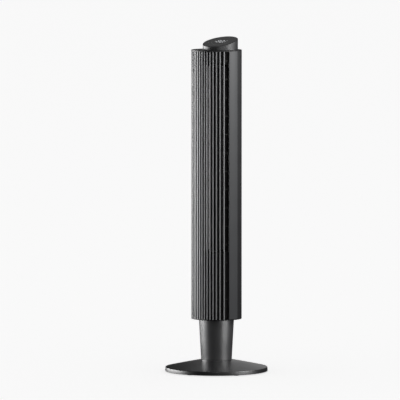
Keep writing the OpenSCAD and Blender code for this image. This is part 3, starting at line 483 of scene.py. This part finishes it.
lensDrop = headShape["lens"] / math.cos(headSlope)
ledgeR = lensR - headShape["ledge"]
bm = bmesh.new()
turned(bm, [(headR, -1), (headR, 0), (lensR, 0), (lensR, -lensDrop), (ledgeR, -lensDrop), (ledgeR, -1)],
       centre=(0, headY))  # the lower end, far down here, is put on the cap below
bmesh.ops.remove_doubles(bm, verts=bm.verts, dist=0.002 * mm)
tipOntoPanel(bm, [v for v in bm.verts if v.co.z > -0.5])
for v in bm.verts:
    if v.co.z < 0:
        v.co.z = capTop
bmesh.ops.recalc_face_normals(bm, faces=bm.faces)
outer = {v for v in bm.verts
         if math.hypot(v.co.x, v.co.y - headY) > headR - 0.1 * mm and v.co.z > capTop + mm}
lip = [e for e in bm.edges if outer.issuperset(e.verts) and e.calc_face_angle() > 0.9]
bmesh.ops.bevel(bm, geom=lip, offset=headShape["roundOver"], segments=4, affect="EDGES",
                profile=0.5, material=-1)
finishPiece("headRing", bm, "tower", headPlastic, "head_plastic", "head_ring")

lensOuter, lensEdge, middle = lensR - headShape["gap"], headShape["lensEdge"], 0.5 * mm
bm = bmesh.new()
turned(bm, [(lensOuter, -lensDrop), (lensOuter, -lensEdge), (lensOuter - lensEdge, 0),
            (middle, 0), (middle, -lensDrop)], centre=(0, headY))
bmesh.ops.holes_fill(bm, edges=[e for e in bm.edges if e.is_boundary], sides=0)
bmesh.ops.remove_doubles(bm, verts=bm.verts, dist=0.002 * mm)
tipOntoPanel(bm, bm.verts)
finishPiece("panelLens", bm, "tower", lensGloss, "lens_gloss", "panel_lens")

# marks are drawn with the panel's radius as 1, X across and Y up the slope; only high is in metres
marks = {"high": 0.06 * mm, "stroke": 0.036, "digitWide": 0.185, "digitTall": 0.38,
         "digitsAt": (-0.145, 0.105), "digitLevel": 0.03, "fanAt": (-0.35, 0.04),
         "nightAt": (0.35, 0.155), "breezeAt": (0.35, 0.013), "modeAt": (0.35, -0.10),
         "dotAt": (0.25, -0.13), "keyR": 0.645, "keyStep": 34, "keyRing": 0.133}
onPanel = (Matrix.Translation((0, headY, headMid)) @ Matrix.Rotation(headSlope, 4, "X")
           @ Matrix.Scale(lensR, 4))


def bar(bm, x, y, length, thick, angle=0):  # a mark with pointed ends
    made = bmesh.ops.create_grid(bm, x_segments=1, y_segments=1, size=0.5)["verts"]  # 1 by 1
    bmesh.ops.scale(bm, verts=made, vec=(length, thick, 1))
    bmesh.ops.rotate(bm, verts=made, matrix=Matrix.Rotation(math.radians(angle), 3, "Z"))
    bmesh.ops.translate(bm, verts=made, vec=(x, y, 0))
    bmesh.ops.bevel(bm, geom=made, offset=thick * 0.49, segments=1, affect="VERTICES",
                    profile=0.5, material=-1)


def disc(bm, x, y, radius, segments=24, angle=0):
    place = Matrix.Translation((x, y, 0)) @ Matrix.Rotation(math.radians(angle), 4, "Z")
    bmesh.ops.create_circle(bm, cap_ends=True, segments=segments, radius=radius, matrix=place)


def ringMark(bm, x, y, radius, thick, first=0, sweep=360):
    a = fromFront(1, first)
    ends = [bm.verts.new((x + r * a.x, y + r * a.y, 0)) for r in (radius - thick / 2, radius + thick / 2)]
    bmesh.ops.spin(bm, geom=ends + [bm.edges.new(ends)], cent=(x, y, 0), axis=(0, 0, 1),
                   angle=math.radians(sweep), steps=max(6, int(sweep / 8)), use_merge=sweep == 360)


def finishMarks(name, bm, material, slot):
    bmesh.ops.remove_doubles(bm, verts=bm.verts, dist=0.0005)
    bmesh.ops.recalc_face_normals(bm, faces=bm.faces)
    up = bmesh.ops.extrude_face_region(bm, geom=bm.faces[:])["geom"]
    bmesh.ops.translate(bm, verts=[v for v in up if isinstance(v, bmesh.types.BMVert)],
                        vec=(0, 0, marks["high"] / lensR))
    bmesh.ops.transform(bm, matrix=onPanel, verts=bm.verts)
    finishPiece(name, bm, "tower", material, slot)


def petals(bm, x, y, count, apart, reach, radius, segments):  # discs in a ring, apart in radians
    for turn in range(count):
        disc(bm, x + reach * math.cos(turn * apart), y + reach * math.sin(turn * apart), radius, segments)


bm = bmesh.new()
w, h, t = marks["digitWide"] / 2, marks["digitTall"] / 2, marks["stroke"]
for x in marks["digitsAt"]:  # two digits, each of seven bars
    y = marks["digitLevel"]
    for level in (-h, 0, h):
        bar(bm, x, y + level * (1 - t / 2), 2 * w - t * 1.3, t)
    for across in (-w, w):
        for level in (-h / 2, h / 2):
            bar(bm, x + across * (1 - t / 2), y + level, h - t * 1.3, t, 90)
disc(bm, *marks["fanAt"], 0.022)
petals(bm, *marks["fanAt"], 3, 2.094, 0.04, 0.018, 24)
ringMark(bm, *marks["nightAt"], 0.032, 0.014, 40, 250)
for row in (-1, 0, 1):
    bar(bm, marks["breezeAt"][0], marks["breezeAt"][1] + row * 0.024, 0.07, 0.011)
disc(bm, *marks["modeAt"], 0.024, 5, 90)
ringMark(bm, *marks["dotAt"], 0.016, 0.008)
finishMarks("displayMarks", bm, digitLight, "light_plastic")

bm = bmesh.new()
for k in range(-2, 3):
    spot = fromFront(marks["keyR"], k * marks["keyStep"])
    ringMark(bm, spot.x, spot.y, marks["keyRing"], 0.012)
    if k == 0:  # power
        ringMark(bm, spot.x, spot.y, 0.045, 0.012, 210, 300)
        bar(bm, spot.x, spot.y + 0.035, 0.05, 0.012, 90)
    elif k == -1:  # timer
        ringMark(bm, spot.x, spot.y, 0.05, 0.011)
        bar(bm, spot.x, spot.y + 0.016, 0.035, 0.01, 90)
        bar(bm, spot.x + 0.012, spot.y, 0.026, 0.01)
    elif k == 1:  # swing
        bar(bm, spot.x, spot.y, 0.09, 0.011)
        disc(bm, spot.x - 0.045, spot.y, 0.022, 3, 180)
        disc(bm, spot.x + 0.045, spot.y, 0.022, 3, 0)
    else:  # mode and speed
        count = 4 if k > 0 else 3
        petals(bm, spot.x, spot.y, count, 2 * math.pi / count, 0.032, 0.02, 16)
finishMarks("keyMarks", bm, keyPrint, "head_plastic")
print("control head is made")

camera = {"azimuth": 35, "distance": 19.4, "height": 2.05, "lens": 550, "aimHeight": 0.5476,
          "aside": -0.0524}
sideways = fromFront(1, camera["azimuth"] + 90)
lookout = bpy.data.objects.new("camera", bpy.data.cameras.new("camera"))
bpy.context.scene.collection.objects.link(lookout)
eye = fromFront(camera["distance"], camera["azimuth"]) + sideways * camera["aside"]
eye.z = camera["height"]
target = sideways * camera["aside"] + Vector((0, 0, camera["aimHeight"]))
lookout.location = eye
lookout.rotation_euler = (target - eye).to_track_quat("-Z", "Y").to_euler()
lookout.data.lens = camera["lens"]
lookout.data.sensor_width = 36
lookout.data.clip_end = 200
bpy.context.scene.camera = lookout

studio = {"backdrop": 1.0, "reflected": 0.008, "ambient": 0.36, "floorGlow": 0.64, "floorColour": 0.9,
          "floorInReflections": 0.03, "floorSize": 160}
world = bpy.data.worlds.new("studio")
bpy.context.scene.world = world
world.use_nodes = True
room = world.node_tree
roomRay = room.nodes.new("ShaderNodeLightPath")
dim = room.nodes["Background"]
fill = room.nodes.new("ShaderNodeMath")  # some light for dull surfaces, a dark room in glossy ones
fill.operation = "MULTIPLY_ADD"
fill.inputs[1].default_value = studio["ambient"]
fill.inputs[2].default_value = studio["reflected"]
backdrop = room.nodes.new("ShaderNodeBackground")
backdrop.inputs["Strength"].default_value = studio["backdrop"]
for background in (dim, backdrop):
    background.inputs["Color"].default_value = (1, 1, 1, 1)
roomChoice = room.nodes.new("ShaderNodeMixShader")
room.links.new(roomRay.outputs["Is Diffuse Ray"], fill.inputs[0])
room.links.new(fill.outputs["Value"], dim.inputs["Strength"])
room.links.new(roomRay.outputs["Is Camera Ray"], roomChoice.inputs[0])
room.links.new(dim.outputs["Background"], roomChoice.inputs[1])
room.links.new(backdrop.outputs["Background"], roomChoice.inputs[2])
room.links.new(roomChoice.outputs["Shader"], room.nodes["World Output"].inputs["Surface"])
bpy.context.scene.view_settings.view_transform = "Standard"

# angle from the camera's side (right positive) in degrees, distance, height of the middle, width and tall in
# metres, power in watts; a lamp lights every piece, or those it is aimedAt, but none that it is keptOff
lamps = [
    {"name": "leftSoftbox", "angle": -112, "distance": 2.0, "height": 0.6, "width": 1.8, "tall": 1.2,
     "power": 104, "keptOff": ("baseCover", "panelLens", "displayMarks", "keyMarks")},
    {"name": "rightSoftbox", "angle": 75, "distance": 2.0, "height": 1.6, "width": 1.4, "tall": 0.6,
     "power": 76},
    {"name": "frontFill", "angle": 10, "distance": 2.4, "height": 1.3, "width": 1.8, "tall": 0.8,
     "power": 13.5},
    {"name": "backLight", "angle": 172, "distance": 2.0, "height": 0.9, "width": 0.9, "tall": 1.6,
     "power": 2.8},
    {"name": "rightStrip", "angle": 60, "distance": 2.0, "height": 0.3, "width": 1.5, "tall": 0.6,
     "power": 38, "aimedAt": ("neckSleeve",)},
    {"name": "leftStrip", "angle": -88, "distance": 2.0, "height": 0.3, "width": 1.5, "tall": 0.6,
     "power": 28, "aimedAt": ("neckSleeve",)},
    {"name": "leftRimLight", "angle": -110, "distance": 2.0, "height": 0.1, "width": 2.4, "tall": 0.2,
     "power": 40, "aimedAt": ("baseCover",)},
    {"name": "rightRimLight", "angle": 62, "distance": 2.0, "height": 0.1, "width": 1.5, "tall": 0.2,
     "power": 12, "aimedAt": ("baseCover",)},
    {"name": "headStrip", "angle": 57, "distance": 2.0, "height": 0.9, "width": 0.8, "tall": 0.5,
     "power": 10, "aimedAt": ("headRing",)},
    {"name": "headLight", "angle": 175, "distance": 2.0, "height": 2.1, "width": 1.3, "tall": 0.9,
     "power": 0.5, "aimedAt": ("headRing", "panelLens", "displayMarks", "keyMarks")},
]
fanPieces = [piece for piece in bpy.context.scene.objects if piece.type == "MESH"]
for lamp in lamps:
    light = bpy.data.lights.new(lamp["name"], "AREA")
    light.shape = "RECTANGLE"
    light.size, light.size_y = lamp["width"], lamp["tall"]
    light.energy = lamp["power"]
    lampStand = bpy.data.objects.new(lamp["name"], light)
    bpy.context.scene.collection.objects.link(lampStand)
    aim = Vector((0, 0, lamp["height"]))
    lampStand.location = fromFront(lamp["distance"], camera["azimuth"] + lamp["angle"]) + aim
    lampStand.rotation_euler = (aim - lampStand.location).to_track_quat("-Z", "Y").to_euler()
    lit = bpy.data.collections.new(lamp["name"] + "Lit")
    for piece in fanPieces:
        if piece.name in lamp.get("aimedAt", (piece.name,)) and piece.name not in lamp.get("keptOff", ()):
            lit.objects.link(piece)
    lampStand.light_linking.receiver_collection = lit

bm = bmesh.new()
bmesh.ops.create_grid(bm, x_segments=1, y_segments=1, size=studio["floorSize"] / 2)
floor = bpy.data.objects.new("floor", bpy.data.meshes.new("floor"))
bm.to_mesh(floor.data)
bm.free()
bpy.context.scene.collection.objects.link(floor)
floorPaint = newMaterial("floorPaint", (studio["floorColour"],) * 3, 0.9, Emission_Color=(1, 1, 1, 1),
                         Emission_Strength=studio["floorGlow"])
paint = floorPaint.node_tree
dull = paint.nodes.new("ShaderNodeBsdfDiffuse")  # the gloss doesn't mirror the white floor
dull.inputs["Color"].default_value = (*(studio["floorInReflections"],) * 3, 1)
floorRay = paint.nodes.new("ShaderNodeLightPath")
floorChoice = paint.nodes.new("ShaderNodeMixShader")
paint.links.new(floorRay.outputs["Is Camera Ray"], floorChoice.inputs[0])
paint.links.new(dull.outputs["BSDF"], floorChoice.inputs[1])
paint.links.new(paint.nodes["Principled BSDF"].outputs["BSDF"], floorChoice.inputs[2])
paint.links.new(floorChoice.outputs["Shader"], paint.nodes["Material Output"].inputs["Surface"])
floor.data.materials.append(floorPaint)
print("camera, lamps and floor are set")
